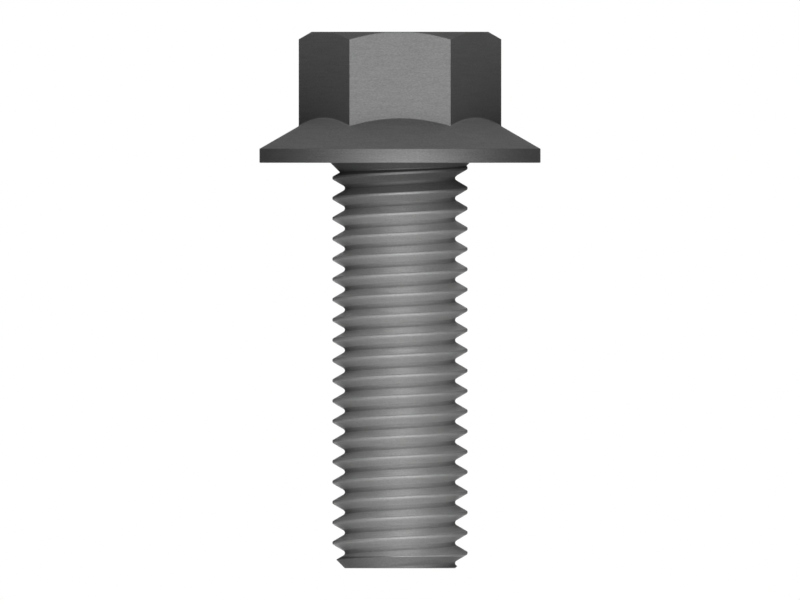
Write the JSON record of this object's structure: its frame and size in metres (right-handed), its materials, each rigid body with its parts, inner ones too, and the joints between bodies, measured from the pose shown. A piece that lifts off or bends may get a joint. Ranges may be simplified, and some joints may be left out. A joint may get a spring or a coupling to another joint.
{
  "type": "flange bolt",
  "caption": "Hexagon flange bolt with a conical flange forged to its head and a coarse right-hand thread up to the flange.",
  "frame": {"origin": "centre of the bearing face, where the shank leaves the flange", "axes": "+Z along the shank from the bearing face to the tip, with the head below; two of the head's six corners lie on the X axis, so two flats face +Y and -Y. The bolt stands on its head."},
  "size_m": [0.0208, 0.0208, 0.0397],
  "materials": {
    "black_oxide_steel": "satin"
  },
  "bodies": {
    "root": {"flange_bolt": "black_oxide_steel"}
  },
  "joints": []
}
